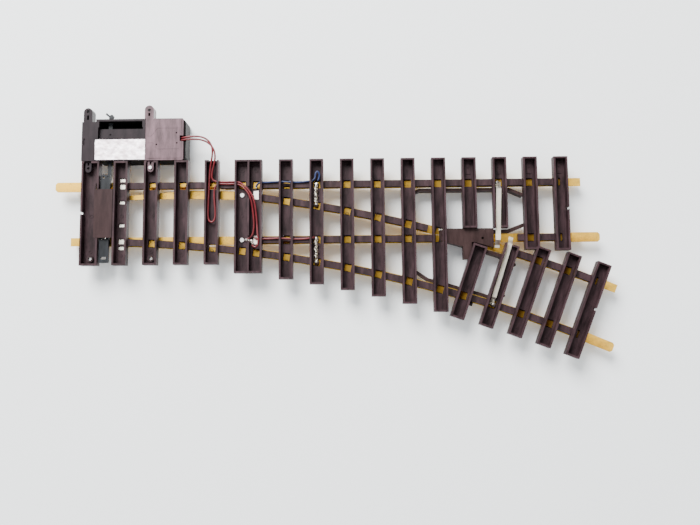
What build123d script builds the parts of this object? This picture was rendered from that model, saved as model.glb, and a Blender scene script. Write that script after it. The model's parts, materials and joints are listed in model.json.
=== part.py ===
from build123d import *
import os
from math import asin, atan2, cos, degrees, hypot, pi, radians, sin, sqrt, tan

# A left-hand electric turnout for 45 mm gauge track, in millimetres. The rails are up (+Z), +X runs
# from the points end along the straight route, +Y is the diverging side and z = 0 is the ground.

# Track layout
GAUGE = 45.0
HEAD_WIDTH = 3.0
RAIL_SPACING = GAUGE + HEAD_WIDTH
HALF_SPACING = RAIL_SPACING / 2
ROUTE_RADIUS = 1195.0
ROUTE_ANGLE = 22.5
TRACK_LENGTH = 440.0
OUTER_RADIUS = ROUTE_RADIUS + HALF_SPACING
INNER_RADIUS = ROUTE_RADIUS - HALF_SPACING

# Rail section
RAIL_HEIGHT = 8.3
FOOT_WIDTH = 7.1
FOOT_EDGE = 0.8
FOOT_CROWN = 1.7
WEB_THICKNESS = 1.3
HEAD_UNDERSIDE = 5.6
HEAD_SIDE = 6.1
FLANGEWAY = 2.8

# Sleepers, open underneath
SLEEPER_HEIGHT = 8.0
SLEEPER_WIDTH = 12.0
FIRST_SLEEPER_WIDTH = 15.2
WALL = 1.6
DECK = 1.6
FIRST_X = 18.0
PITCH = 26.1
EARLY_COUNT = 5
LATE_X = 186.1
LATE_PITCH = 26.15
LATE_COUNT = 10
HEEL_X = 153.85
HEEL_WIDTH = 23.5
PIVOT_X = 148.0
PLAIN_END = 45.0
SHORT_FROM_X = 330.0
SHORT_ENDS = (16.0, 16.0, 34.9, 35.8)
END_OVERHANG = 19.3
WINDOW_X = 5.9
WINDOW_Y = 6.9
SLIT_X = 1.8
FAN_COUNT = 5
FAN_FIRST_ANGLE = 16.75
FAN_ANGLE_STEP = 1.225
FAN_FIRST_TILT = 19.2
FAN_TILT_STEP = 0.62
FAN_OUTER_END = 44.0
FAN_INNER_ENDS = (21.0, 29.2, 34.7, 38.3, 39.5)

# Webs that tie the sleepers under each rail
TIE_WIDTH = 5.6
TIE_BOTTOM = 4.5

# Points
THROW = 8.5
TIP_X = 30.0
BLADE_LIFT = 0.1
BLADE_GAP = 0.2
MILL_END = 133.0
HEEL_GAP_X = PIVOT_X + 4.5
SHAFT_GAP = 0.05
PIN_RADIUS = 1.1
BAR_BOTTOM = 2.5
BAR_TOP = 5.4

# Frog
FROG_START = 317.4
CLOSURE_END = 317.0
EXIT_START = 358.0
WING_WIDTH = 3.0

# Joiners
JOINER_REACH = 14.5
JOINER_LENGTH = 24.0
JOINER_WIDTH = 8.2
JOINER_SHEET = 0.5

# Drive
DRIVE_SIDE = -45.3
DRIVE_BACK = -81.5
DRIVE_END = 99.4
BRACKET_X = (9.8, 21.9)
CASE_START = 22.6
COVER_X = (64.8, 97.7)
PLATE = 1.8
CASE_TOP = 19.0
STRIP_Y = (-74.9, -64.8)
STRIP_FLOOR = 3.0
FIRST_EAR_X = 15.6
THIRD_EAR_X = 69.3
EAR_SCREW_Y = -39.3
GEAR_MODULE = 0.5
PINION_TEETH = 12
GEAR_Y = -62.0
GEAR_Z = 10.75
SLIDER_X = (31.0, 34.4)
SLIDER_BOTTOM = 5.5
PEG = (32.7, -31.2)
MOTOR_X = (68.0, 90.0)
MOTOR_FLAT = 5.0
MOTOR_CAN = 0.8
ARMATURE_RADIUS = 4.0

# Wiring
WIRE = 1.6
STRIP = 0.5

os.makedirs("parts", exist_ok=True)
CURVE_AXIS = Axis((0, ROUTE_RADIUS, 0), (0, 0, 1))
PITCH_RADIUS = GEAR_MODULE * PINION_TEETH / 2


def save(name, shape):
    export_step(shape, f"parts/{name}.step")


def box(x0, x1, y0, y1, z0, z1):
    return Pos((x0 + x1) / 2, (y0 + y1) / 2, (z0 + z1) / 2) * Box(x1 - x0, y1 - y0, z1 - z0)


def post(x, y, radius, z0, z1):
    return Pos(x, y, (z0 + z1) / 2) * Cylinder(radius, z1 - z0)


def axle(x0, x1, y, z, radius):
    return Pos((x0 + x1) / 2, y, z) * Rot(0, 90, 0) * Cylinder(radius, x1 - x0)


def prism(points, z0, z1):
    return Pos(0, 0, z0) * extrude(make_face(Polyline(*points, close=True)), z1 - z0)


def curve_y(radius, x):
    """Y of a concentric curve of the diverging route at a given X."""
    return ROUTE_RADIUS - sqrt(radius**2 - x**2)


def curve_angle(radius, x):
    return degrees(asin(x / radius))


def curve_point(radius, angle):
    return (radius * sin(radians(angle)), ROUTE_RADIUS - radius * cos(radians(angle)))


def rail_face(y, milled=0):
    """Rail section at X = 0. milled = 1 or -1 cuts the foot away on the +Y or -Y side."""
    half_foot = FOOT_WIDTH / 2
    half_web = WEB_THICKNESS / 2
    half_head = HEAD_WIDTH / 2
    right = [(half_foot, 0), (half_foot, FOOT_EDGE), (half_web, FOOT_CROWN), (half_web, HEAD_UNDERSIDE),
             (half_head, HEAD_SIDE), (half_head, RAIL_HEIGHT - 0.4), (half_head - 0.4, RAIL_HEIGHT)]
    left = [(-a, b) for a, b in reversed(right)]
    if milled > 0:
        right = [(half_web, 0), *right[3:]]
    if milled < 0:
        left = [*left[:-3], (-half_web, 0)]
    return Plane((0, y, SLEEPER_HEIGHT), x_dir=(0, 1, 0), z_dir=(1, 0, 0)) * make_face(
        Polyline(*right, *left, close=True))


def straight_bar(face, x0, x1):
    return Pos(x0, 0, 0) * extrude(face, x1 - x0)


def curved_bar(face, angle0, angle1):
    return revolve(face, CURVE_AXIS, angle1 - angle0).rotate(CURVE_AXIS, angle0)


def strip_face(y, width, z0, z1):
    return Plane((0, y, (z0 + z1) / 2), x_dir=(0, 1, 0), z_dir=(1, 0, 0)) * Rectangle(width, z1 - z0)


# ---- Sleepers -------------------------------------------------------------------------------------

def ejector_ring(y):
    top = SLEEPER_HEIGHT - DECK
    return Pos(0, y, top - 0.15) * (Cylinder(1.5, 0.3) - Cylinder(1.1, 0.3))


def trough(y0, y1, width, windows, rings, cavities=1, middle=0.0):
    """One hollow sleeper along Y, centred on X = 0: walls, deck, windows and mould marks."""
    body = box(-width / 2, width / 2, y0, y1, 0, SLEEPER_HEIGHT)
    body = chamfer(body.faces().sort_by(Axis.Z)[-1].edges(), 0.5)
    top = SLEEPER_HEIGHT - DECK
    x0 = -width / 2 + WALL
    x1 = width / 2 - WALL
    if cavities == 2:
        body -= box(x0, middle - WALL / 2, y0 + WALL, y1 - WALL, -1, top)
        body -= box(middle + WALL / 2, x1, y0 + WALL, y1 - WALL, -1, top)
    else:
        body -= box(x0, x1, y0 + WALL, y1 - WALL, -1, top)
    for x, y, size_x, size_y, turn in windows:
        body -= Pos(x, y, SLEEPER_HEIGHT) * Rot(0, 0, turn) * Box(size_x, size_y, 4 * DECK)
    for x, y in rings:
        body += Pos(x, 0, 0) * ejector_ring(y)
    return body


def rail_crossings(x):
    """Y and turn of every rail line over a straight sleeper at X, from -Y to +Y."""
    lines = [(-HALF_SPACING, 0.0)]
    if PIVOT_X < x < EXIT_START:
        lines.append((curve_y(OUTER_RADIUS, x), curve_angle(OUTER_RADIUS, x)))
    if x > PIVOT_X:
        lines.append((HALF_SPACING, 0.0))
    lines.append((curve_y(INNER_RADIUS, x), curve_angle(INNER_RADIUS, x)))
    return lines


def straight_end(x):
    """+Y end of a straight sleeper: plain, following the curved rail, or stopped short of the fan."""
    reach = curve_y(INNER_RADIUS, x) + END_OVERHANG
    if x < PIVOT_X:
        return PLAIN_END
    if x < SHORT_FROM_X:
        return reach
    return SHORT_ENDS[round((x - SHORT_FROM_X) / LATE_PITCH)]


early = [FIRST_X + PITCH * i for i in range(EARLY_COUNT)]
late = [LATE_X + LATE_PITCH * i for i in range(LATE_COUNT)]
fan = [(FAN_FIRST_ANGLE + FAN_ANGLE_STEP * i, FAN_FIRST_TILT + FAN_TILT_STEP * i) for i in range(FAN_COUNT)]
sleepers = {}
blocks = []


def add_sleeper(name, body, block, place=Pos(0, 0, 0)):
    sleepers[name] = place * body
    blocks.append(place * block)


def wire_hole(x0, x1, y, z=3.4):
    return axle(x0, x1, y, z, 1.5)


def slide_plate_face(side):
    """The slide plate's three openings in the second sleeper, seen from below."""
    return [(side * (HALF_SPACING + 5.6), 3.4), (side * HALF_SPACING, 4.6), (side * 10.0, 3.0)]


for i, x in enumerate(early):
    width = FIRST_SLEEPER_WIDTH if i == 0 else SLEEPER_WIDTH
    windows = [(0.0, y, WINDOW_X, WINDOW_Y, turn) for y, turn in rail_crossings(x)]
    if i == 0:
        windows = [(3.6, -HALF_SPACING, 1.4, 6.0, 0.0)]
    if i == 1:
        windows = [(0.0, y, 5.0, size, 0.0) for side in (-1, 1) for y, size in slide_plate_face(side)]
    rings = [(0.0, 2.0), (0.0, 36.0 if i % 2 else 33.0)]
    body = trough(-PLAIN_END, straight_end(x), width, windows, rings)
    if i in (0, 2):
        ear = (THIRD_EAR_X if i else FIRST_EAR_X) - x
        for boss_x, boss_y, bore in ((ear, EAR_SCREW_Y, 1.05), (0.0, 39.0, 1.5)):
            body += post(boss_x, boss_y, 3.0, 4.6, SLEEPER_HEIGHT - DECK)
            body -= post(boss_x, boss_y, bore, 0, 10)
        body -= box(ear - 3.0, ear + 3.0, -PLAIN_END - 1, -PLAIN_END + WALL + 1, -1, 4.8)
    if i == 0:
        body -= box(-10, WALL - width / 2, -1.2, 1.2, -1, SLEEPER_HEIGHT - DECK)
        body -= box(3.6, 8, -20.8, 21.8, -1, 1.3)
    if i == 1:
        body -= box(-3.6, 3.2, -31.6, -8.0, 7.5, 9)
        body -= box(-3.6, 3.2, 8.0, 31.6, 7.5, 9)
    if i == 4:
        body -= box(-2.4, 4.4, -PLAIN_END - 1, -PLAIN_END + WALL + 1, -1, 3.2)
        body -= wire_hole(0, 8, -24.6)
        body -= wire_hole(0, 8, -26.4)
    add_sleeper(f"sleeper_{i + 1:02d}", body, box(-width / 2, width / 2, -60, 60, 0, 8), Pos(x, 0, 0))

heel_end = curve_y(INNER_RADIUS, PIVOT_X) + END_OVERHANG
first_half = PIVOT_X - HEEL_X
second_half = 160.0 - HEEL_X
heel_windows = [(dx, y, WINDOW_X, WINDOW_Y, turn) for dx in (first_half, second_half)
                for y, turn in (rail_crossings(HEEL_X)[0], (curve_y(INNER_RADIUS, HEEL_X + dx), 7.5))]
heel = trough(-PLAIN_END, heel_end, HEEL_WIDTH, heel_windows,
              [(first_half, 2.5), (first_half, -36.5), (second_half, -36.5)], 2, 0.2)
for y in (-15.0, HALF_SPACING):
    heel -= post(first_half, y, 1.55, 0, 10)
    heel -= Pos(second_half, y, SLEEPER_HEIGHT) * Box(4.4, 5.4, 4 * DECK)
for y in (-24.6, -26.4):
    heel -= wire_hole(-13, 3.4, y)
heel -= wire_hole(3, 13, -25.9)
heel -= wire_hole(3, 13, 23.3)
heel -= box(-1.6, 2.4, -22.0, -11.4, -1, 3.8)
heel -= box(-1.6, 2.4, 20.8, 25.2, -1, 5.2)
add_sleeper("sleeper_heel", heel, box(-HEEL_WIDTH / 2, HEEL_WIDTH / 2, -60, 70, 0, 8), Pos(HEEL_X, 0, 0))

SPLITS = {-24: [(-2.5, 2.6), (2.5, 2.6)], 24: [(-2.5, 2.6), (2.5, 2.6)]}
for i, x in enumerate(late):
    width = SLEEPER_WIDTH
    end = straight_end(x)
    crossings = rail_crossings(x)
    if i in (6, 7):
        crossings = [crossings[0]]
    if i > 7:
        crossings = [crossings[0], (HALF_SPACING, 0.0)]
    rings = [(0.0, -36.5)] if i in (0, 1, 6, 7, 8, 9) else [(0.0, 2.0)]
    windows = [(0.0, y, WINDOW_X, WINDOW_Y, turn) for y, turn in crossings]
    if i == 0:
        windows = [(0.0, y + dy, WINDOW_X, size, turn) for _, y, _, _, turn in windows
                   for dy, size in SPLITS.get(round(y), [(0.0, WINDOW_Y)])]
    if i == 9:
        windows = [(0.0, y, SLIT_X, WINDOW_Y, turn) for _, y, _, _, turn in windows]
    body = trough(-PLAIN_END, end, SLEEPER_WIDTH, windows, rings)
    if i > 5:
        body += box(-1.9, 1.9, -42.5, -31.5, 5.9, 6.4) - post(0, -36.5, 1.1, 5.8, 6.5)
    if i in (0, 1):
        for y in (-25.9, 23.3):
            body -= wire_hole(-8, 8 if i == 0 else 0, y)
    if i == 7:
        body -= box(-4.3, 0.4, end - WALL - 1, end + 1, -1, 4.4)
    if i == 9:
        body -= box(width / 2 - WALL, 10, -1.2, 1.2, -1, SLEEPER_HEIGHT - DECK)
    add_sleeper(f"sleeper_{i + 8:02d}", body, box(-6, 6, -60, end if i > 5 else 110, 0, 8), Pos(x, 0, 0))

for i, (angle, tilt) in enumerate(fan):
    x, y = curve_point(ROUTE_RADIUS, angle)
    rails = [(HALF_SPACING, angle - tilt), (-HALF_SPACING, angle - tilt)][: 1 if i < 2 else 2]
    opening = SLIT_X if i == FAN_COUNT - 1 else WINDOW_X
    windows = [(0.0, across, opening, WINDOW_Y, turn) for across, turn in rails]
    body = trough(-FAN_INNER_ENDS[i], FAN_OUTER_END, SLEEPER_WIDTH, windows, [(0.0, FAN_OUTER_END - 8)])
    if i == 1:
        body -= box(-4.6, 0.4, -FAN_INNER_ENDS[i] - 1, -FAN_INNER_ENDS[i] + WALL + 1, -1, 4.4)
    if i == FAN_COUNT - 1:
        body -= box(SLEEPER_WIDTH / 2 - WALL, 10, -1.2, 1.2, -1, SLEEPER_HEIGHT - DECK)
    add_sleeper(f"sleeper_fan_{i + 1}", body, box(-6, 6, -FAN_INNER_ENDS[i], 60, 0, 8),
                Pos(x, y, 0) * Rot(0, 0, tilt))

sleepers["sleeper_16"] -= blocks[-3]

for name, body in sleepers.items():
    save(name, body)


# ---- Ties between the sleepers --------------------------------------------------------------------

def ties(strip, x0, x1):
    """The lengths of a strip that lie between sleepers, from X = x0 to x1."""
    strip = strip & box(x0, x1, -60, 140, 0, 9)
    for block in blocks:
        strip -= block
    return [piece for piece in strip.solids() if piece.volume > 20]


def tie_face(y):
    return strip_face(y, TIE_WIDTH, TIE_BOTTOM, SLEEPER_HEIGHT)


stock_ties = ties(straight_bar(tie_face(-HALF_SPACING), early[1], late[-1]), early[1], late[-1])
curved_strip = curved_bar(tie_face(HALF_SPACING), curve_angle(INNER_RADIUS, early[1]), fan[-1][0])
stock_ties += ties(curved_strip, early[1], 500)
save("ties_stock_rails", Compound(children=stock_ties))
inner_straight = straight_bar(tie_face(HALF_SPACING), HEEL_X, CLOSURE_END - 4)
inner_straight += straight_bar(tie_face(HALF_SPACING), 384.0, late[-1])
inner_curve = curved_bar(tie_face(-HALF_SPACING), curve_angle(OUTER_RADIUS, HEEL_X), 14.6)
inner_curve += curved_bar(tie_face(-HALF_SPACING), fan[1][0], fan[-1][0])
inner_ties = ties(inner_straight, HEEL_X, late[-1]) + ties(inner_curve, HEEL_X, 500)
save("ties_inner_rails", Compound(children=inner_ties))


# ---- Rails ----------------------------------------------------------------------------------------

def meeting_cut(x0, x1, side):
    """The half-space past the line midway between the two inner rails, where their feet meet."""
    y0 = (HALF_SPACING + curve_y(OUTER_RADIUS, x0)) / 2
    y1 = (HALF_SPACING + curve_y(OUTER_RADIUS, x1)) / 2
    turn = degrees(atan2(y1 - y0, x1 - x0))
    middle = Pos((x0 + x1) / 2, (y0 + y1) / 2, 10) * Rot(0, 0, turn)
    return middle * Pos(0, side * (4 - 0.2), 0) * Box(x1 - x0 + 12, 8, 12)


stock = straight_bar(rail_face(-HALF_SPACING, milled=1), 22, MILL_END)
stock += straight_bar(rail_face(-HALF_SPACING), 0, 22)
stock += straight_bar(rail_face(-HALF_SPACING), MILL_END, TRACK_LENGTH)
save("stock_rail_straight", stock)

start = curve_angle(INNER_RADIUS, 22)
stop = curve_angle(INNER_RADIUS, MILL_END)
curved_stock = curved_bar(rail_face(HALF_SPACING, milled=-1), start, stop)
curved_stock += curved_bar(rail_face(HALF_SPACING), 0, start)
curved_stock += curved_bar(rail_face(HALF_SPACING), stop, ROUTE_ANGLE)
save("stock_rail_curved", curved_stock)

closure_straight = straight_bar(rail_face(HALF_SPACING), HEEL_GAP_X, CLOSURE_END)
save("closure_rail_straight", closure_straight - meeting_cut(300, CLOSURE_END, -1))
closure_curved = curved_bar(rail_face(-HALF_SPACING), curve_angle(OUTER_RADIUS, HEEL_GAP_X), 15.2)
closure_curved &= box(HEEL_GAP_X, CLOSURE_END, -60, 60, 0, 30)
save("closure_rail_curved", closure_curved - meeting_cut(300, CLOSURE_END, 1))

exit_straight = straight_bar(rail_face(HALF_SPACING), EXIT_START, TRACK_LENGTH)
save("exit_rail_straight", exit_straight - meeting_cut(EXIT_START, 368, 1))
exit_curved = curved_bar(rail_face(-HALF_SPACING), 16.8, ROUTE_ANGLE) & box(EXIT_START, 500, 0, 140, 0, 30)
save("exit_rail_curved", exit_curved - meeting_cut(EXIT_START, 368, -1))


# ---- Joiners --------------------------------------------------------------------------------------

def joiner():
    """A folded sheet sleeve round the rail foot: rail end at X = 0, reaching out along +X."""
    inner = FOOT_WIDTH / 2 + 0.05
    outer = JOINER_WIDTH / 2
    points = [(-outer, -JOINER_SHEET), (outer, -JOINER_SHEET), (outer, 1.5), (1.6, 2.4), (1.6, 1.9),
              (inner, 1.1), (inner, 0), (-inner, 0), (-inner, 1.1), (-1.6, 1.9), (-1.6, 2.4), (-outer, 1.5)]
    face = Plane((0, 0, SLEEPER_HEIGHT), x_dir=(0, 1, 0), z_dir=(1, 0, 0)) * make_face(
        Polyline(*points, close=True))
    sleeve = straight_bar(face, JOINER_REACH - JOINER_LENGTH, JOINER_REACH)
    for side in (-1, 1):
        corner = Pos(JOINER_REACH, side * outer, SLEEPER_HEIGHT) * Rot(0, 0, 45) * Box(2.4, 2.4, 12)
        sleeve -= corner
    return sleeve


exit_x, exit_y = curve_point(INNER_RADIUS, ROUTE_ANGLE)
joiner_places = [Pos(0, -HALF_SPACING, 0) * Rot(0, 0, 180), Pos(TRACK_LENGTH, HALF_SPACING, 0),
                 Pos(exit_x, exit_y, 0) * Rot(0, 0, ROUTE_ANGLE)]
save("rail_joiners", Compound(children=[place * joiner() for place in joiner_places]))


# ---- Frog and guard rails -------------------------------------------------------------------------

def rib(points, width, z0, z1):
    """A bar of constant width along a line of points, round at both ends."""
    path = Polyline(*[(a, b, z0) for a, b in points])
    return extrude(make_face(offset(path, width / 2, side=Side.BOTH).edges()), z1 - z0)


def curve_points(radius, angle0, angle1, count):
    return [curve_point(radius, angle0 + (angle1 - angle0) * i / (count - 1)) for i in range(count)]


RAIL_TOP = SLEEPER_HEIGHT + RAIL_HEIGHT
wing_line = HALF_SPACING - HEAD_WIDTH / 2 - FLANGEWAY - WING_WIDTH / 2
wing_radius = OUTER_RADIUS - HEAD_WIDTH / 2 - FLANGEWAY - WING_WIDTH / 2
base = prism([(late[5] + 6, 16.1), (late[7] - 6.1, 16.1), (late[7] - 6.1, 32.6), (346.4, 27.9),
              (344.2, 27.9), (344.2, 42.7), (336.6, 42.7), (336.6, 31.5), (late[5] + 6, 28.3)],
             3.6, SLEEPER_HEIGHT)
base -= blocks[len(early) + 1 + LATE_COUNT]
base -= blocks[len(early) + 1 + 6]
wing_path = [(FROG_START + WING_WIDTH / 2, wing_line), (376, wing_line), (389, wing_line - 5)]
wing_one = rib(wing_path, WING_WIDTH, SLEEPER_HEIGHT, RAIL_TOP)
wing_start = curve_angle(wing_radius, FROG_START + WING_WIDTH / 2)
wing_two = rib([*curve_points(wing_radius, wing_start, 17.7, 5), curve_point(wing_radius - 4, 18.35)],
               WING_WIDTH, SLEEPER_HEIGHT, RAIL_TOP)
nose_x = 331.0
gauge_line = HALF_SPACING - HEAD_WIDTH / 2
nose_radius = OUTER_RADIUS - HEAD_WIDTH / 2
vee = prism([(nose_x, gauge_line), (EXIT_START - 0.3, gauge_line),
             (EXIT_START - 0.3, curve_y(nose_radius, EXIT_START)), (nose_x, curve_y(nose_radius, nose_x))],
            SLEEPER_HEIGHT, RAIL_TOP)
deck = prism([(FROG_START, wing_line - 1.5), (EXIT_START - 0.3, wing_line - 1.5),
              (EXIT_START - 0.3, curve_y(wing_radius - 1.5, EXIT_START)),
              (FROG_START, curve_y(wing_radius - 1.5, FROG_START))], SLEEPER_HEIGHT, SLEEPER_HEIGHT + 4.0)
frog = base + deck + wing_one + wing_two + vee
frog -= post(353.6, 24.6, 1.1, 0, 5.6)
save("frog", frog)

guard_offset = HEAD_WIDTH / 2 + FLANGEWAY + 1.25
guard_y = -HALF_SPACING + guard_offset
guard_x = (290.0, 301.0, 378.0, 389.5)
guard = rib([(guard_x[0], guard_y + 5), (guard_x[1], guard_y), (guard_x[2], guard_y),
             (guard_x[3], guard_y + 5)], 2.5, SLEEPER_HEIGHT, RAIL_TOP - 0.5)
save("guard_rail_straight", guard)
guard_radius = INNER_RADIUS + guard_offset
guard_curve = [curve_point(guard_radius + 4.4, 14.5), *curve_points(guard_radius, 15.1, 17.75, 5),
               curve_point(guard_radius + 4.4, 18.3)]
save("guard_rail_curved", rib(guard_curve, 2.5, SLEEPER_HEIGHT, RAIL_TOP - 0.5))


# ---- Points ---------------------------------------------------------------------------------------

BLADE_END = PIVOT_X + 4.0
LIMIT = degrees(THROW / (PIVOT_X - TIP_X))
curved_pivot = (PIVOT_X, curve_y(OUTER_RADIUS, PIVOT_X))
straight_pivot = (PIVOT_X, HALF_SPACING)
head_level = SLEEPER_HEIGHT + HEAD_UNDERSIDE - 0.3
half_head = HEAD_WIDTH / 2 + BLADE_GAP
half_web = WEB_THICKNESS / 2 + BLADE_GAP


def pivot_hole(pivot):
    return post(*pivot, 1.5 + SHAFT_GAP, 0, 11.6)


tip_start = 27.0
closed_curved = curved_bar(rail_face(-HALF_SPACING), curve_angle(OUTER_RADIUS, tip_start),
                           curve_angle(OUTER_RADIUS, BLADE_END))
closed_curved -= box(0, 134, -60, -HALF_SPACING + half_web, 0, 30)
closed_curved -= box(0, 134, -60, -HALF_SPACING + half_head, head_level, 30)
closed_curved -= box(0, 34, -60, 60, head_level - 2.4, 30)
closed_curved += box(tip_start, 36, -HALF_SPACING + half_web, -20.1, SLEEPER_HEIGHT, SLEEPER_HEIGHT + 1.6)
curved_pin = (TIP_X, -21.7)
closed_curved -= post(*curved_pin, PIN_RADIUS, 0, SLEEPER_HEIGHT + 1.2)
closed_curved -= pivot_hole(curved_pivot)
closed_curved = Pos(0, 0, BLADE_LIFT) * closed_curved
curved_hinge = Axis((*curved_pivot, 0), (0, 0, 1))
save("point_blade_curved", closed_curved.rotate(curved_hinge, -LIMIT))

closed_straight = straight_bar(rail_face(HALF_SPACING), tip_start, BLADE_END)
below = Pos(0, 20 - half_web, 0) * strip_face(HALF_SPACING, 40, 0, 30)
above = Pos(0, 20 - half_head, 0) * strip_face(HALF_SPACING, 40, head_level, 30)
closed_straight -= curved_bar(below, 0, curve_angle(INNER_RADIUS, 134))
closed_straight -= curved_bar(above, 0, curve_angle(INNER_RADIUS, 134))
closed_straight -= box(0, 34, -60, 60, head_level - 2.4, 30)
foot_pad = box(tip_start, 36, HALF_SPACING - FOOT_WIDTH / 2, 23.3, SLEEPER_HEIGHT, SLEEPER_HEIGHT + 1.6)
closed_straight += foot_pad
straight_pin = (TIP_X, 21.9)
closed_straight -= post(*straight_pin, PIN_RADIUS, 0, SLEEPER_HEIGHT + 1.2)
closed_straight -= pivot_hole(straight_pivot)
save("point_blade_straight", Pos(0, 0, BLADE_LIFT) * closed_straight)


def blade_pin(x, y):
    return post(x, y, PIN_RADIUS, BAR_BOTTOM + 0.4, SLEEPER_HEIGHT + 1.2 + BLADE_LIFT)


save("blade_pin_straight", blade_pin(*straight_pin))
save("blade_pin_curved", blade_pin(*curved_pin).rotate(curved_hinge, -LIMIT))


def rivet(pivot):
    """Shouldered rivet through the sleeper deck into the blade's heel."""
    head = Pos(pivot[0], pivot[1], 5.5) * Cylinder(2.1, 0.9, align=(Align.CENTER, Align.CENTER, Align.MIN))
    head = chamfer(head.faces().sort_by(Axis.Z)[0].edges(), 0.4)
    return head + post(*pivot, 1.5, 6.0, 11.4)


save("pivot_rivets", Compound(children=[rivet(curved_pivot), rivet(straight_pivot)]))

curved_pin_open = Vertex(*curved_pin, 0).rotate(curved_hinge, -LIMIT).center()
bar = box(26.2, 34.5, -33.8, 42.7, BAR_BOTTOM, BAR_TOP)
bar = fillet(bar.edges().filter_by(Axis.Z), 1.2)


def slot(x, y, length, width):
    return Pos(x, y, BAR_BOTTOM) * extrude(SlotOverall(length, width), BAR_TOP - BAR_BOTTOM)


slot_width = 2 * (PIN_RADIUS + SHAFT_GAP)
bar -= slot(TIP_X + 0.2, straight_pin[1], 3.9, slot_width)
bar -= slot(TIP_X - 0.1, curved_pin_open.Y, 3.9, slot_width)
bar -= slot(TIP_X + 0.3, 38.6, 5.0, 2.4)
bar -= post(*PEG, 1.2 + SHAFT_GAP, 0, 10)
bar -= post(28.6, -31.2, 1.1, 0, 10)
bar -= box(27.8, 32.9, -8, 8, BAR_BOTTOM - 1, BAR_BOTTOM + 1.0)
save("throw_bar", bar)

cover = box(22.1, 37.7, -20.5, 21.5, 0, 1.2)
cover = fillet(cover.edges().filter_by(Axis.Z), 0.8)
for y in (-18.5, 19.5):
    cover += box(36.4, 37.7, y - 2.0, y + 2.0, 1.2, 6.0)
save("throw_bar_cover", cover)

plates = [box(early[1] - 3.5, early[1] + 3.1, side * 19.8 - 11.7, side * 19.8 + 11.7, 7.55, 8.0)
          for side in (-1, 1)]
save("slide_plates", Compound(children=plates))
contacts = [box(157.9, 162.1, y - 3.6, y + 3.6, 5.9, 6.4) + box(158.2, 161.8, y - 2.3, y + 2.3, 6.4, 8.0)
            for y in (-15.0, HALF_SPACING)]
save("heel_contacts", Compound(children=contacts))


# ---- Drive ----------------------------------------------------------------------------------------

def lug(x, y0, y1, half_width, z0, z1):
    """A fixing ear that runs along Y, round at its free end y1."""
    near = min(y0, y1 - half_width) if y1 > y0 else max(y0, y1 + half_width)
    sign = 1 if y1 > y0 else -1
    centre = y1 - sign * half_width
    low, high = sorted((y0, centre))
    return box(x - half_width, x + half_width, low, high, z0, z1) + post(x, centre, half_width, z0, z1)


plate = box(BRACKET_X[1], COVER_X[0] - 0.1, DRIVE_BACK - 0.6, DRIVE_SIDE, 0, PLATE)
plate += box(22.6, COVER_X[0] - 0.1, STRIP_Y[0], STRIP_Y[1] + 1.2, PLATE, STRIP_FLOOR + 1.4)
plate -= box(23.8, 62.6, *STRIP_Y, -1, STRIP_FLOOR)
plate -= box(24.6, 62.0, -80.1, STRIP_Y[0] + 0.9, -1, STRIP_FLOOR + 2)
bracket = box(*BRACKET_X, -79.7, DRIVE_SIDE, 0, SLEEPER_HEIGHT)
bracket -= box(BRACKET_X[0] + WALL, BRACKET_X[1] - WALL, -78.1, -46.9, PLATE, 10)
bracket -= box(11.4, 12.9, -65.0, -59.0, -1, 0.9)
plate += bracket
outer_ear = lug(14.8, -79.7, -92.1, 3.8, 0, SLEEPER_HEIGHT) - post(14.8, -89.0, 1.3, -1, 10)
outer_ear -= box(14.0, 15.6, -85.6, -81.6, -1, 4)
inner_ear = lug(FIRST_EAR_X, DRIVE_SIDE - 1, -35.6, 2.6, 2.0, 4.6)
inner_ear += box(FIRST_EAR_X - 2.6, FIRST_EAR_X + 2.6, -47.4, -45.3, 0, 4.6)
inner_ear -= post(FIRST_EAR_X, EAR_SCREW_Y, 1.1, -1, 6)
inner_ear -= box(FIRST_EAR_X - 0.8, FIRST_EAR_X + 0.8, -44.2, -41.6, -1, 3.6)
plate += outer_ear + inner_ear
rests = box(31.4, 34.0, -72.0, -48.5, PLATE, SLIDER_BOTTOM - 0.1)
rests += box(44.0, 46.0, -66.0, -58.0, PLATE, 13.0)
plate += rests - box(23.8, 62.6, *STRIP_Y, -1, STRIP_FLOOR)
plate -= axle(40, 50, GEAR_Y, GEAR_Z, 0.8)
plate -= box(21.4, 64.9, -64.1, -46.2, -1, 0.2)
plate -= post(33.5, -68.9, 0.8, -1, STRIP_FLOOR + 0.9)
save("drive_base", plate)
save("drive_foil", box(21.5, 64.6, -64.0, -46.3, 0.05, 0.2))

lid = box(*COVER_X, DRIVE_BACK - 0.8, DRIVE_SIDE - 0.2, 0.3, PLATE)
lid = fillet(lid.edges().filter_by(Axis.Z).group_by(Axis.X)[-1], 1.5)
lid += box(66.5, 95.8, -80.6, -47.2, 0, 0.3)
lid -= box(94.6, 98, -67.0, -62.0, -1, 3)
for x, y in ((91.8, -69.4), (92.2, -60.4), (74.5, -59.2)):
    lid -= post(x, y, 0.7, -1, 1.2)
second_ear = lug(67.8, -82.3, -94.0, 3.9, 0.3, SLEEPER_HEIGHT) - post(67.8, -89.8, 1.3, -1, 10)
second_ear -= box(67.0, 68.6, -87.4, -84.6, -1, 5)
outline = [(66.6, -66.5), (70.0, -66.5), (75.5, -73.4), (94.3, -73.4), (94.3, -55.0), (75.5, -55.0),
           (71.5, -60.5), (66.6, -60.5)]
lid -= rib(outline, 0.5, -0.1, 0.15)
third_ear = lug(THIRD_EAR_X, DRIVE_SIDE - 1, -35.6, 2.6, 2.0, 4.6)
third_ear += box(THIRD_EAR_X - 2.6, THIRD_EAR_X + 2.6, -47.4, -45.5, 0.3, 4.6)
third_ear -= post(THIRD_EAR_X, EAR_SCREW_Y, 1.1, -1, 6)
third_ear -= box(THIRD_EAR_X - 0.8, THIRD_EAR_X + 0.8, -44.6, -42.0, -1, 3.6)
lid += second_ear + third_ear
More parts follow.
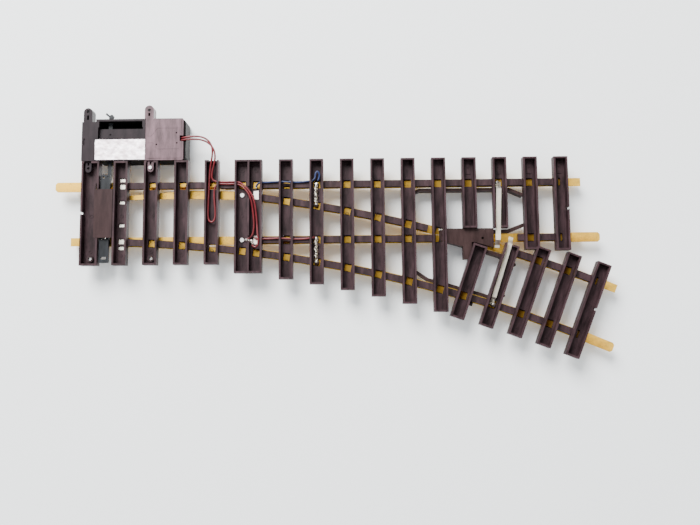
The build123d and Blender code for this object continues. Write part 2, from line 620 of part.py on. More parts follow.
for x in (71.0, 87.0):
    lid += box(x - 1, x + 1, GEAR_Y - 4, GEAR_Y + 4, PLATE, GEAR_Z - MOTOR_FLAT)
save("drive_cover", lid)

case = box(CASE_START, DRIVE_END, DRIVE_BACK, DRIVE_SIDE, PLATE, CASE_TOP)
case = fillet(case.edges().filter_by(Axis.Z).group_by(Axis.X)[-1], 3.0)
case = fillet(case.edges().filter_by(Axis.Z).group_by(Axis.X)[0], 2.0)
case = fillet(case.faces().sort_by(Axis.Z)[-1].edges(), 1.5)
hollow = box(CASE_START + 1.6, DRIVE_END - 1.6, DRIVE_BACK + 1.6, DRIVE_SIDE - 1.6, 0, CASE_TOP - 1.6)
hollow = fillet(hollow.edges().filter_by(Axis.Z).group_by(Axis.X)[-1], 1.6)
case -= hollow
case -= box(SLIDER_X[0] - 0.4, SLIDER_X[1] + 0.4, -90, -30, 5.0, 8.6)
case -= box(63.0, 72.0, -90, DRIVE_BACK + 1.6, 0, 3.0)
case -= box(66.6, 73.8, DRIVE_SIDE - 2, -40, 0, 4.8)
case -= box(20, CASE_START + 1.8, STRIP_Y[0] - 0.2, STRIP_Y[1] + 1.4, 0, STRIP_FLOOR + 1.6)
case -= box(DRIVE_END - 3, DRIVE_END + 1, -67.4, -61.6, 0, 3.2)
save("drive_housing", case)

motor = axle(*MOTOR_X, GEAR_Y, GEAR_Z, 6.0)
motor &= box(*MOTOR_X, -80, -40, GEAR_Z - MOTOR_FLAT, GEAR_Z + MOTOR_FLAT)
motor += axle(MOTOR_X[0] - 1.5, MOTOR_X[0], GEAR_Y, GEAR_Z, 2.0)
inside = axle(MOTOR_X[0] + MOTOR_CAN, MOTOR_X[1] - 2.2, GEAR_Y, GEAR_Z, 6.0 - MOTOR_CAN)
inside_flat = MOTOR_FLAT - MOTOR_CAN
motor -= inside & box(*MOTOR_X, -80, -40, GEAR_Z - inside_flat, GEAR_Z + inside_flat)
motor -= axle(MOTOR_X[0] - 2, MOTOR_X[1] - 1, GEAR_Y, GEAR_Z, 0.8)
save("drive_motor", motor)
save("motor_shaft", axle(32.0, MOTOR_X[1] - 1.5, GEAR_Y, GEAR_Z, 0.75))

armature = axle(70.8, 85.6, GEAR_Y, GEAR_Z, ARMATURE_RADIUS) - axle(70, 87, GEAR_Y, GEAR_Z, 0.75)
for pole in range(3):
    gap = Pos(78, GEAR_Y, GEAR_Z) * Rot(120 * pole, 0, 0) * Pos(0, 0, 3.6) * Box(16, 0.9, 1.6)
    armature -= gap
save("motor_armature", armature)


def involute(base_radius, radius, turn):
    """Point of an involute at a radius, turned about the gear's centre."""
    roll = sqrt((radius / base_radius) ** 2 - 1)
    angle = roll - atan2(roll, 1) + turn
    return (radius * sin(angle), radius * cos(angle))


def pinion_face():
    pressure = radians(20)
    base_radius = PITCH_RADIUS * cos(pressure)
    tip = PITCH_RADIUS + 0.9 * GEAR_MODULE
    root = PITCH_RADIUS - 1.25 * GEAR_MODULE
    half_tooth = pi / (2 * PINION_TEETH) + tan(pressure) - pressure - 0.02
    radii = [base_radius + (tip - base_radius) * i / 5 for i in range(6)]
    face = Circle(root)
    for i in range(PINION_TEETH):
        left = [involute(base_radius, r, -half_tooth) for r in radii]
        right = [(-a, b) for a, b in reversed(left)]
        foot = [(right[-1][0], 0.6 * root), (left[0][0], 0.6 * root)]
        face += Rot(0, 0, 360 * i / PINION_TEETH) * make_face(Polyline(*left, *right, *foot, close=True))
    return face


def pinion():
    gear = extrude(pinion_face(), 5.0) - Pos(0, 0, 2.5) * Cylinder(0.75, 6)
    return Pos(34.0, GEAR_Y, GEAR_Z) * Rot(0, 90, 0) * Rot(0, 0, 180 / PINION_TEETH) * gear


save("drive_pinion", pinion())

rack_pitch = pi * GEAR_MODULE
rack_line = GEAR_Z - PITCH_RADIUS - 0.15
slider = box(*SLIDER_X, -85.0, -29.6, SLIDER_BOTTOM, SLIDER_BOTTOM + 1.4)
slider += post(*PEG, 1.2, BAR_BOTTOM + 0.3, SLIDER_BOTTOM + 1.0)
slider += box(SLIDER_X[0], 39.4, -68.4, -48.0, SLIDER_BOTTOM, SLIDER_BOTTOM + 1.4)
half_low = rack_pitch / 4 + 1.0 * GEAR_MODULE * tan(radians(20)) - 0.05
half_high = rack_pitch / 4 - 0.9 * GEAR_MODULE * tan(radians(20)) - 0.05
for i in range(-4, 9):
    y = GEAR_Y + rack_pitch * i
    profile = [(y - half_low, SLIDER_BOTTOM + 1.3), (y + half_low, SLIDER_BOTTOM + 1.3),
               (y + half_high, rack_line + 0.45), (y - half_high, rack_line + 0.45)]
    tooth = Plane((34.6, 0, 0), x_dir=(0, 1, 0), z_dir=(1, 0, 0)) * make_face(Polyline(*profile, close=True))
    slider += extrude(tooth, 4.2)
slider += Pos(31.4, -86.2, SLIDER_BOTTOM + 0.8) * Rot(0, 0, 41) * Box(7.4, 1.7, 2.4)
slider += post(33.6, -86.0, 1.6, SLIDER_BOTTOM - 0.6, SLIDER_BOTTOM + 2.2)
save("drive_slider", slider)

screw = post(THIRD_EAR_X, EAR_SCREW_Y, 1.0, 1.6, 7.6) + post(THIRD_EAR_X, EAR_SCREW_Y, 1.3, 0.7, 2.0)
screw -= Pos(THIRD_EAR_X, EAR_SCREW_Y, 0.7) * Box(4.4, 0.5, 0.9)
save("mounting_screw", screw)


# ---- Wiring ---------------------------------------------------------------------------------------

def wire(name, points, size=WIRE):
    """A wire as straight runs joined by tangent arcs, and a printed check of its radii and volume."""
    spots = [Vector(*p) for p in points]
    radii = []
    for a, b, c in zip(spots, spots[1:], spots[2:]):
        run = min((b - a).length, (c - b).length)
        turn = radians((b - a).get_angle(c - b))
        radii.append(0.45 * run / tan(turn / 2))
    path = FilletPolyline(*spots, radius=radii)
    section = Plane(spots[0], z_dir=spots[1] - spots[0]) * Circle(size / 2)
    tube = sweep(section, path)
    ratio = tube.volume / (pi * size**2 / 4 * path.length)
    print(name, "length", round(path.length, 1), "volume ratio", round(ratio, 3),
          "radii", [round(r, 1) for r in radii])
    save(name, tube)


LEAD_A = [(95.4, -65.4, 2.6), (98.6, -65.5, 1.1), (106.0, -66.4, 1.0), (113.6, -65.9, 1.0),
          (119.6, -62.4, 1.0), (122.6, -56.6, 1.0), (122.8, -49.2, 1.0), (121.2, -41.6, 2.2),
          (120.0, -31.8, 3.6), (119.6, -20.0, 3.9), (119.2, -8.0, 3.6), (119.0, 2.4, 3.2),
          (120.0, 7.6, 3.0), (122.6, 8.9, 3.0), (125.0, 6.7, 3.0), (125.6, 0.8, 3.2), (124.6, -8.4, 3.4),
          (124.2, -16.4, 3.4), (124.6, -21.6, 3.4), (126.7, -24.5, 3.4), (131.0, -24.8, 3.4),
          (135.6, -24.4, 3.4),
          (140.2, -24.8, 3.4), (145.8, -24.1, 3.5), (150.6, -20.4, 2.6), (154.8, -14.6, 2.0),
          (156.8, -7.2, 2.6), (157.9, 1.4, 3.4), (158.6, 9.4, 3.6), (158.4, 16.4, 3.6),
          (156.6, 21.4, 3.6), (152.6, 23.8, 3.7)]
LEAD_B = [(95.4, -63.4, 2.6), (98.8, -63.6, 1.1), (106.4, -63.8, 1.0), (113.6, -63.2, 1.0),
          (119.8, -60.2, 1.0), (124.0, -55.0, 1.0), (125.4, -48.4, 1.0), (124.2, -41.4, 1.8),
          (122.2, -34.2, 2.8), (122.0, -29.4, 3.4), (124.6, -26.9, 3.4), (129.2, -26.5, 3.4),
          (134.6, -26.3, 3.4), (140.4, -26.6, 3.4), (146.2, -26.1, 3.4), (151.8, -21.6, 2.6),
          (156.9, -14.9, 2.4), (159.4, -7.2, 2.8), (160.4, 1.4, 3.6), (161.2, 10.4, 3.8),
          (161.6, 18.4, 2.6), (162.7, 24.2, 2.2), (162.0, 29.2, 2.6), (159.0, 31.0, 3.0),
          (156.9, 28.6, 3.2)]
RED_JUMPER = [(158.6, 22.0, 5.0), (161.8, 23.6, 4.5), (164.8, 23.2, 3.7), (171.2, 23.4, 3.4),
              (180.0, 22.9, 3.4), (188.8, 23.6, 3.4), (198.0, 24.0, 3.4), (206.8, 23.3, 3.6),
              (210.4, 22.3, 4.4)]
BLUE_JUMPER = [(160.2, -21.2, 4.9), (161.0, -24.2, 4.1), (163.4, -25.8, 3.5), (170.2, -25.7, 3.4),
               (180.0, -26.3, 3.4), (189.2, -25.6, 3.4), (198.2, -25.5, 3.4), (205.0, -26.2, 3.4),
               (208.9, -26.5, 3.5), (211.3, -29.2, 3.7), (211.2, -33.0, 3.8), (213.0, -35.2, 3.8),
               (214.8, -33.0, 3.9), (214.7, -29.4, 4.1), (213.4, -26.8, 4.3)]
wire("red_lead_a", LEAD_A)
wire("red_lead_b", LEAD_B)
wire("red_jumper", RED_JUMPER)
wire("blue_jumper", BLUE_JUMPER)

bare = []
LINK_X = late[1] - 0.4
for y0, y1 in ((-22.0, -8.2), (25.6, 41.4)):
    bare.append(box(LINK_X - 0.9, LINK_X + 0.9, y0, y1, 4.3, 5.9))
save("bare_links", Compound(children=bare))


def blob(x, y, radius=2.0, z0=4.4):
    """Solder on a rail foot, seen through a sleeper window."""
    return post(x, y, radius, z0 + 0.8, SLEEPER_HEIGHT) + post(x, y, 0.75 * radius, z0, z0 + 0.8)


joints = [(LINK_X, -24.0), (LINK_X, -6.2), (LINK_X, 23.6), (LINK_X, 43.5), (late[7] - 0.6, -23.6)]
tip_angle = fan[1][0]
joints.append(curve_point(INNER_RADIUS, tip_angle))
save("solder_joints", Compound(children=[blob(x, y) for x, y in joints]))


def jumper(x0, y0, x1, y1, width, z0):
    """A flat tinned strip, bent up at both ends to the rail feet it joins."""
    length = hypot(x1 - x0, y1 - y0)
    foot = SLEEPER_HEIGHT - STRIP
    rise = foot - z0
    line = [(-3.2, foot), (-1.2, foot), (rise - 1.2, z0), (length - rise + 1.2, z0), (length + 1.2, foot),
            (length + 3.2, foot)]
    top = [(a, b + STRIP) for a, b in reversed(line)]
    side = Plane((0, width / 2, 0), x_dir=(1, 0, 0), z_dir=(0, -1, 0)) * make_face(
        Polyline(*line, *top, close=True))
    return Pos(x0, y0, 0) * Rot(0, 0, degrees(atan2(y1 - y0, x1 - x0))) * extrude(side, width)


fan_two = Pos(*curve_point(ROUTE_RADIUS, fan[1][0]), 0) * Rot(0, 0, fan[1][1])
inner_spot = (fan_two * Pos(-2.3, -32.9, 0)).position
outer_spot = (fan_two * Pos(-0.9, 21.2, 0)).position
strips = [jumper(late[7] - 0.4, -21.3, late[7] - 2.6, 29.4, 4.2, 3.2),
          jumper(inner_spot.X, inner_spot.Y, outer_spot.X, outer_spot.Y, 3.8, 3.2)]
save("jumper_strips", Compound(children=strips))
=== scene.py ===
import bmesh
import bpy
import json
from math import asin, cos, pi, radians, sin, sqrt
from mathutils import Euler, Matrix, Vector, noise


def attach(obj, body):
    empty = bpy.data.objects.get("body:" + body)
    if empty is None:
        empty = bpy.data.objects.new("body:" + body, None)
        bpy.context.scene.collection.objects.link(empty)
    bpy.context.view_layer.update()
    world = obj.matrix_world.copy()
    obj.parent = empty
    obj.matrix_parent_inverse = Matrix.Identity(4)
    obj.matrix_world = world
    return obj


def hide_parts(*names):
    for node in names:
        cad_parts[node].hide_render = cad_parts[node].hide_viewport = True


# The looks of a 45 mm gauge electric turnout that lies on its rails, so its underside is in view.
# Metres, in the model's own frame: rails up (+Z), points end at the origin, ground at z = 0.

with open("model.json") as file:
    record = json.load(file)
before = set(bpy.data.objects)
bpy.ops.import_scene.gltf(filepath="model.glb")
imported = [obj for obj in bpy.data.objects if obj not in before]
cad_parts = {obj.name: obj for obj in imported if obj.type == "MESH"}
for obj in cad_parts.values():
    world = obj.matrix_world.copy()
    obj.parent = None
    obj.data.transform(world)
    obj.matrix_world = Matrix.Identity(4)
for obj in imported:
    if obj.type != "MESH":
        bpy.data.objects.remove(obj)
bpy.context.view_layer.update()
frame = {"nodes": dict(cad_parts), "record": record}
nodes = frame["nodes"]
MM = 0.001

# The track, in mm. The branch turns about a centre on the +Y side.
RAIL_Y = 24.0
BRANCH_CENTRE_Y = 1195.0
NEAR_RADIUS = 1171.0
FAR_RADIUS = 1219.0
FAN_TURN = radians(20.4)


# ---- Camera -----------------------------------------------------------------------------------------

lens_data = bpy.data.cameras.new("camera")
lens_data.sensor_width = 36.0
lens_data.lens = 36.0
lens_data.clip_start = 0.01
camera = bpy.data.objects.new("camera", lens_data)
bpy.context.scene.collection.objects.link(camera)
aim = Euler((radians(-5.940), radians(0.4066), radians(-0.5719))).to_matrix()
facing = Matrix((aim[0], -aim[1], -aim[2])).transposed()
camera.matrix_world = Matrix.Translation((0.244671, 0.105981, -0.588074)) @ facing.to_4x4()
bpy.context.scene.camera = camera


# ---- Node and mesh helpers --------------------------------------------------------------------------

def linear(code):
    """An sRGB hex colour as linear RGBA."""
    parts = [int(code[i:i + 2], 16) / 255 for i in (1, 3, 5)]
    return (*[c / 12.92 if c <= 0.04045 else ((c + 0.055) / 1.055) ** 2.4 for c in parts], 1.0)


def add(tree, kind, inputs=None, **settings):
    """Adds a node with its settings. An input given as a socket is linked, any other is set."""
    node = tree.nodes.new(kind)
    for name, value in settings.items():
        setattr(node, name, value)
    for key, value in (inputs or {}).items():
        if isinstance(value, bpy.types.NodeSocket):
            tree.links.new(value, node.inputs[key])
        else:
            node.inputs[key].default_value = value
    return node


def new_material(name):
    material = bpy.data.materials.new(name)
    material.use_nodes = True
    tree = material.node_tree
    tree.nodes.clear()
    return material, tree


def close_material(tree, inputs):
    shader = add(tree, "ShaderNodeBsdfPrincipled", inputs)
    add(tree, "ShaderNodeOutputMaterial", {"Surface": shader.outputs[0]})


def new_object(name, mesh):
    obj = bpy.data.objects.new(name, mesh)
    bpy.context.scene.collection.objects.link(obj)
    return obj


# ---- Materials --------------------------------------------------------------------------------------

def moulded(name, base, worn_and_lit, roughness, mottle_mm=9.0, grain_turn=None, rim=0.35, shine=0.36):
    """Injection-moulded weatherproof ABS: deep colour with slow flow marks, a soft sheen and
    rims painted paler, partly as handling scuffs and partly as painted highlight on the bottom
    faces that catch the light. grain_turn adds wood grain to the upper face."""
    material, tree = new_material(name)
    spot = add(tree, "ShaderNodeTexCoord").outputs["Object"]
    height = add(tree, "ShaderNodeSeparateXYZ", {"Vector": spot}).outputs["Z"]
    streak = add(tree, "ShaderNodeMapping",
                 {"Vector": spot, "Rotation": (0.0, 0.0, -(grain_turn or 0.0))}, vector_type="POINT")
    filled = add(tree, "ShaderNodeVectorMath", {0: streak.outputs[0], 1: (2.2, 0.5, 1.0)},
                 operation="MULTIPLY")
    flow = add(tree, "ShaderNodeTexNoise",
               {"Vector": filled.outputs[0], "Scale": 1 / (mottle_mm * MM), "Detail": 5.0,
                "Roughness": 0.65})
    dust = add(tree, "ShaderNodeTexNoise", {"Vector": spot, "Scale": 1 / (1.1 * MM), "Detail": 2.0})
    spread = add(tree, "ShaderNodeMapRange",
                 {"Value": flow.outputs["Fac"], "From Min": 0.33, "From Max": 0.7, "To Max": 0.85})
    # Paler towards z = 0: partly handling scuffs on the rims, partly painted highlight on the bottom faces
    # that catch the light.
    foot = add(tree, "ShaderNodeMapRange",
               {"Value": height, "From Min": 0.6 * MM, "From Max": 0.05 * MM, "To Max": rim})
    rim_scuff_and_highlight = add(tree, "ShaderNodeMath", {0: foot.outputs[0], 1: dust.outputs["Fac"]}, operation="MULTIPLY")
    mottle_scuff_and_highlight = add(tree, "ShaderNodeMath", {0: spread.outputs[0], 1: rim_scuff_and_highlight.outputs[0]}, operation="ADD",
               use_clamp=True)
    colour = add(tree, "ShaderNodeMix",
                 {"Factor": mottle_scuff_and_highlight.outputs[0], "A": linear(base), "B": linear(worn_and_lit)}, data_type="RGBA")
    gloss = add(tree, "ShaderNodeMapRange",
                {"Value": dust.outputs["Fac"], "To Min": roughness - 0.07, "To Max": roughness + 0.1})
    relief = dust.outputs["Fac"]
    if grain_turn is not None:
        stretched = add(tree, "ShaderNodeVectorMath", {0: streak.outputs[0], 1: (1.0, 0.07, 1.0)},
                        operation="MULTIPLY")
        grain = add(tree, "ShaderNodeTexNoise",
                    {"Vector": stretched.outputs[0], "Scale": 1 / (1.3 * MM), "Detail": 5.0})
        face = add(tree, "ShaderNodeMapRange",
                   {"Value": height, "From Min": 7.4 * MM, "From Max": 7.9 * MM, "To Max": 14.0})
        ridges = add(tree, "ShaderNodeMath", {0: grain.outputs["Fac"], 1: face.outputs[0]},
                     operation="MULTIPLY")
        both = add(tree, "ShaderNodeMath", {0: ridges.outputs[0], 1: relief}, operation="ADD")
        relief = both.outputs[0]
    bump = add(tree, "ShaderNodeBump", {"Height": relief, "Strength": 0.5, "Distance": 0.05 * MM})
    close_material(tree, {"Base Color": colour.outputs["Result"], "Roughness": gloss.outputs[0],
                          "IOR": 1.53, "Specular IOR Level": shine, "Normal": bump.outputs[0]})
    return material


def metal(name, bright, dull, roughness, patch_mm=6.0, draw=(0.03, 1.0, 1.0), line_mm=0.35, share=0.6):
    """Bare metal: its own colour, duller patches where it has tarnished or been handled, and the
    fine lines that drawing or rolling leaves along it. On the rail brass the patches are also
    painted highlight and painted dark reflection."""
    material, tree = new_material(name)
    spot = add(tree, "ShaderNodeTexCoord").outputs["Object"]
    patch = add(tree, "ShaderNodeTexNoise",
                {"Vector": spot, "Scale": 1 / (patch_mm * MM), "Detail": 5.0, "Roughness": 0.65})
    drawn = add(tree, "ShaderNodeVectorMath", {0: spot, 1: draw}, operation="MULTIPLY")
    lines = add(tree, "ShaderNodeTexNoise",
                {"Vector": drawn.outputs[0], "Scale": 1 / (line_mm * MM), "Detail": 3.0})
    spread = add(tree, "ShaderNodeMapRange",
                 {"Value": patch.outputs["Fac"], "From Min": 0.4, "From Max": 0.68, "To Max": share})
    colour = add(tree, "ShaderNodeMix",
                 {"Factor": spread.outputs[0], "A": linear(bright), "B": linear(dull)}, data_type="RGBA")
    gloss = add(tree, "ShaderNodeMapRange",
                {"Value": patch.outputs["Fac"], "From Min": 0.3, "From Max": 0.7,
                 "To Min": roughness - 0.08, "To Max": roughness + 0.12})
    bump = add(tree, "ShaderNodeBump",
               {"Height": lines.outputs["Fac"], "Strength": 0.25, "Distance": 0.03 * MM})
    close_material(tree, {"Base Color": colour.outputs["Result"], "Roughness": gloss.outputs[0],
                          "Metallic": 1.0, "Normal": bump.outputs[0]})
    return material


def insulation(name, base, scuffed):
    """Soft PVC wire covering: strong colour, slightly waxy, with faint kinks and fingerprints."""
    material, tree = new_material(name)
    spot = add(tree, "ShaderNodeTexCoord").outputs["Object"]
    patch = add(tree, "ShaderNodeTexNoise", {"Vector": spot, "Scale": 1 / (4.0 * MM), "Detail": 3.0})
    spread = add(tree, "ShaderNodeMapRange",
                 {"Value": patch.outputs["Fac"], "From Min": 0.4, "From Max": 0.75, "To Max": 0.6})
    colour = add(tree, "ShaderNodeMix",
                 {"Factor": spread.outputs[0], "A": linear(base), "B": linear(scuffed)}, data_type="RGBA")
    bump = add(tree, "ShaderNodeBump",
               {"Height": patch.outputs["Fac"], "Strength": 0.2, "Distance": 0.1 * MM})
    close_material(tree, {"Base Color": colour.outputs["Result"], "Roughness": 0.42, "IOR": 1.53,
                          "Coat Weight": 0.15, "Normal": bump.outputs[0]})
    return material


def aluminium_label():
    """Self-adhesive aluminium foil: silvery white, crumpled over the moulding so it breaks the light
    into bright and warm grey facets."""
    material, tree = new_material("aluminium_foil_label")
    spot = add(tree, "ShaderNodeTexCoord").outputs["Object"]
    facets = add(tree, "ShaderNodeTexVoronoi",
                 {"Vector": spot, "Scale": 1 / (3.2 * MM)}, feature="SMOOTH_F1")
    crease = add(tree, "ShaderNodeTexNoise", {"Vector": spot, "Scale": 1 / (5.0 * MM), "Detail": 5.0})
    # The crease noise paints bright and warm grey tones into the foil's colour: painted reflection of the
    # crumpled facets.
    facet_reflection_tone = add(tree, "ShaderNodeMapRange",
               {"Value": crease.outputs["Fac"], "From Min": 0.35, "From Max": 0.65})
    colour = add(tree, "ShaderNodeMix",
                 {"Factor": facet_reflection_tone.outputs[0], "A": linear("#f6f1f3"), "B": linear("#cfc3c6")},
                 data_type="RGBA")
    folds = add(tree, "ShaderNodeMath", {0: facets.outputs["Distance"], 1: crease.outputs["Fac"]},
                operation="ADD")
    bump = add(tree, "ShaderNodeBump", {"Height": folds.outputs[0], "Strength": 0.35, "Distance": 0.5 * MM})
    close_material(tree, {"Base Color": colour.outputs["Result"], "Roughness": 0.38,
                          "Metallic": 0.75, "Normal": bump.outputs[0]})
    return material


sleeper_plastic = moulded("moulded_brown_sleeper_abs", "#1f1416", "#433034", 0.5, grain_turn=0.0,
                          shine=0.14)
fan_plastic = moulded("moulded_brown_fan_abs", "#1f1416", "#433034", 0.5, grain_turn=FAN_TURN,
                      shine=0.14)
frog_plastic = moulded("moulded_dark_frog_abs", "#261817", "#3c2b2a", 0.46, shine=0.14)
cover_plastic = moulded("moulded_brown_cover_abs", "#261819", "#392828", 0.5, mottle_mm=14.0, rim=0.2,
                        shine=0.13)
lid_plastic = moulded("moulded_brown_lid_abs", "#3a262a", "#745860", 0.48, mottle_mm=14.0, rim=0.2,
                      shine=0.3)
housing_plastic = moulded("moulded_black_housing_abs", "#0b0b0a", "#1c1a19", 0.6, shine=0.05)
base_plastic = moulded("moulded_dark_base_abs", "#181216", "#2c2226", 0.48, mottle_mm=12.0, rim=0.2,
                       shine=0.14)
slider_plastic = moulded("moulded_grey_acetal", "#17191b", "#2a2c30", 0.42, shine=0.2)
# The rail brass's bright and dull patches are partly tarnish and partly painted highlight and painted dark
# reflection.
rail_brass = metal("drawn_rail_brass", "#e4b84c", "#ac873a", 0.32, patch_mm=5.0, share=0.7)
pinion_brass = metal("cut_pinion_brass", "#dcbc62", "#a08443", 0.28, patch_mm=2.0)
tinned_sheet = metal("tinned_brass_sheet", "#fffdf4", "#efe4c8", 0.42, patch_mm=3.0, draw=(1.0, 0.03, 1.0),
                     share=0.5)
solder_metal = metal("tin_lead_solder", "#faf6ee", "#c9c3b8", 0.34, patch_mm=2.5, draw=(1.0, 1.0, 1.0),
                     line_mm=1.2)
bright_tinning = metal("dipped_tin_on_copper", "#fffaf0", "#e2d3b4", 0.3, patch_mm=1.4,
                       draw=(1.0, 1.0, 1.0), line_mm=0.8)
bright_steel = metal("zinc_plated_steel", "#f6f6f4", "#d6d6d2", 0.42, patch_mm=3.0)
red_pvc = insulation("red_pvc_insulation", "#5c0c14", "#7e222a")
blue_pvc = insulation("blue_pvc_insulation", "#14224e", "#2c3f70")
foil_label = aluminium_label()

FINISHES = {
    "sleeper_plastic": sleeper_plastic, "frog_plastic": frog_plastic, "casing_plastic": lid_plastic,
    "housing_plastic": housing_plastic, "slider_plastic": slider_plastic, "rail_brass": rail_brass,
    "tinned_sheet": tinned_sheet, "solder": solder_metal, "bright_steel": bright_steel,
    "pinion_brass": pinion_brass, "silver_foil": foil_label, "red_wire": red_pvc, "blue_wire": blue_pvc,
}
OWN_FINISHES = {"throw_bar_cover": cover_plastic, "drive_base": base_plastic}


def dress(obj, material):
    obj.data.materials.clear()
    obj.data.materials.append(material)


for part in frame["record"]["subparts"]:
    dress(nodes[part["node"]], FINISHES[part["material_slot"]])
for name, node in nodes.items():
    if name.startswith("sleeper_fan"):
        dress(node, fan_plastic)
    if name in OWN_FINISHES:
        dress(node, OWN_FINISHES[name])


# ---- Wires ------------------------------------------------------------------------------------------

WIRE = 1.6 * MM
LEAD_A = [(95.4, -65.4, 2.6), (98.6, -65.5, 1.1), (106.0, -66.4, 1.0), (113.6, -65.9, 1.0),
          (119.6, -62.4, 1.0), (122.6, -56.6, 1.0), (122.8, -49.2, 1.0), (121.2, -41.6, 2.2),
          (120.0, -31.8, 3.6), (119.6, -20.0, 3.9), (119.2, -8.0, 3.6), (119.0, 2.4, 3.2),
          (120.0, 7.6, 3.0), (122.6, 8.9, 3.0), (125.0, 6.7, 3.0), (125.6, 0.8, 3.2), (124.6, -8.4, 3.4),
          (124.2, -16.4, 3.4), (124.6, -21.6, 3.4), (126.7, -24.5, 3.4), (131.0, -24.8, 3.4),
          (135.6, -24.4, 3.4), (140.2, -24.8, 3.4), (145.8, -24.1, 3.5), (150.6, -20.4, 2.6),
          (154.8, -14.6, 2.0), (156.8, -7.2, 2.6), (157.9, 1.4, 3.4), (158.6, 9.4, 3.6),
          (158.4, 16.4, 3.6), (156.6, 21.4, 3.6), (152.6, 23.8, 3.7)]
LEAD_B = [(95.4, -63.4, 2.6), (98.8, -63.6, 1.1), (106.4, -63.8, 1.0), (113.6, -63.2, 1.0),
          (119.8, -60.2, 1.0), (124.0, -55.0, 1.0), (125.4, -48.4, 1.0), (124.2, -41.4, 1.8),
          (122.2, -34.2, 2.8), (122.0, -29.4, 3.4), (124.6, -26.9, 3.4), (129.2, -26.5, 3.4),
          (134.6, -26.3, 3.4), (140.4, -26.6, 3.4), (146.2, -26.1, 3.4), (151.8, -21.6, 2.6),
          (156.9, -14.9, 2.4), (159.4, -7.2, 2.8), (160.4, 1.4, 3.6), (161.2, 10.4, 3.8),
          (161.6, 18.4, 2.6), (162.7, 24.2, 2.2), (162.0, 29.2, 2.6), (159.0, 31.0, 3.0),
          (156.9, 28.6, 3.2)]
RED_JUMPER = [(158.6, 22.0, 5.0), (161.8, 23.6, 4.5), (164.8, 23.2, 3.7), (171.2, 23.4, 3.4),
              (180.0, 22.9, 3.4), (188.8, 23.6, 3.4), (198.0, 24.0, 3.4), (206.8, 23.3, 3.6),
              (210.4, 22.3, 4.4)]
BLUE_JUMPER = [(160.2, -21.2, 4.9), (161.0, -24.2, 4.1), (163.4, -25.8, 3.5), (170.2, -25.7, 3.4),
               (180.0, -26.3, 3.4), (189.2, -25.6, 3.4), (198.2, -25.5, 3.4), (205.0, -26.2, 3.4),
               (208.9, -26.5, 3.5), (211.3, -29.2, 3.7), (211.2, -33.0, 3.8), (213.0, -35.2, 3.8),
               (214.8, -33.0, 3.9), (214.7, -29.4, 4.1), (213.4, -26.8, 4.3)]


def wire(name, node, route, material):
    """An insulated wire on one smooth line through its route, held at both ends by the object."""
    data = bpy.data.curves.new(name, "CURVE")
    data.dimensions = "3D"
    data.resolution_u = 10
    data.bevel_depth = WIRE / 2
    data.bevel_resolution = 4
    data.use_fill_caps = True
    spline = data.splines.new("NURBS")
    spline.points.add(len(route) - 1)
    for point, spot in zip(spline.points, route):
        point.co = (*[v * MM for v in spot], 1.0)
    spline.order_u = 3
    spline.use_endpoint_u = True
    data.materials.append(material)
    piece = bpy.data.objects.new(name, data)
    bpy.context.scene.collection.objects.link(piece)
    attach(piece, "track_bed")
    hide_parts(node)


wire("red_wire_long", "red_lead_a", LEAD_A, red_pvc)
wire("red_wire_short", "red_lead_b", LEAD_B, red_pvc)
wire("red_wire_jumper", "red_jumper", RED_JUMPER, red_pvc)
wire("blue_wire_jumper", "blue_jumper", BLUE_JUMPER, blue_pvc)


# ---- Bare twisted links and solder ------------------------------------------------------------------

def piece_from(name, bm, material, slot, *replaced):
    """A finished mesh piece of the fixed track."""
    bmesh.ops.recalc_face_normals(bm, faces=bm.faces)
    mesh = bpy.data.meshes.new(name)
    bm.to_mesh(mesh)
    bm.free()
    mesh.shade_smooth()
    mesh.materials.append(material)
    piece = new_object(name, mesh)
    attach(piece, "track_bed")
    if replaced:
        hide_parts(*replaced)
    return piece


def strand(bm, line, radius, sides=8):
    """A closed round tube along a line of points."""
    rings = []
    for i, spot in enumerate(line):
        along = (line[min(i + 1, len(line) - 1)] - line[max(i - 1, 0)]).normalized()
        across = along.cross(Vector((0.0, 0.0, 1.0))).normalized()
        up = across.cross(along)
        rings.append([bm.verts.new(spot + radius * (cos(2 * pi * k / sides) * across
                                                    + sin(2 * pi * k / sides) * up))
                      for k in range(sides)])
    for one, two in zip(rings, rings[1:]):
        for k in range(sides):
            bm.faces.new((one[k], one[(k + 1) % sides], two[(k + 1) % sides], two[k]))
    bm.faces.new(rings[0][::-1])
    bm.faces.new(rings[-1])


LINK_X = 211.85
LINK_Z = 5.0
LINK_ENDS = ((-22.4, -7.6), (25.2, 42.0))
LINK_STRANDS = ((0.0, 1.1), (pi, 1.2), (pi / 2, 1.7))
STRAND_RADIUS = 0.46
TWIST_PITCH = 5.4
twist = bmesh.new()
for start, end in LINK_ENDS:
    steps = 80
    for turn, loose in LINK_STRANDS:
        line = []
        for i in range(steps + 1):
            y = start + (end - start) * i / steps
            wander = 1.4 * noise.noise(Vector((turn, y / 3.0, start)))
            swing = turn + 2 * pi * (y - start) / TWIST_PITCH + wander
            reach = loose + 0.35 * noise.noise(Vector((y / 2.2, turn, end)))
            line.append(Vector((LINK_X + reach * cos(swing), y, LINK_Z + 0.6 * reach * sin(swing))) * MM)
        strand(twist, line, STRAND_RADIUS * MM)
piece_from("twisted_tinned_links", twist, bright_tinning, "tinned_sheet", "bare_links")

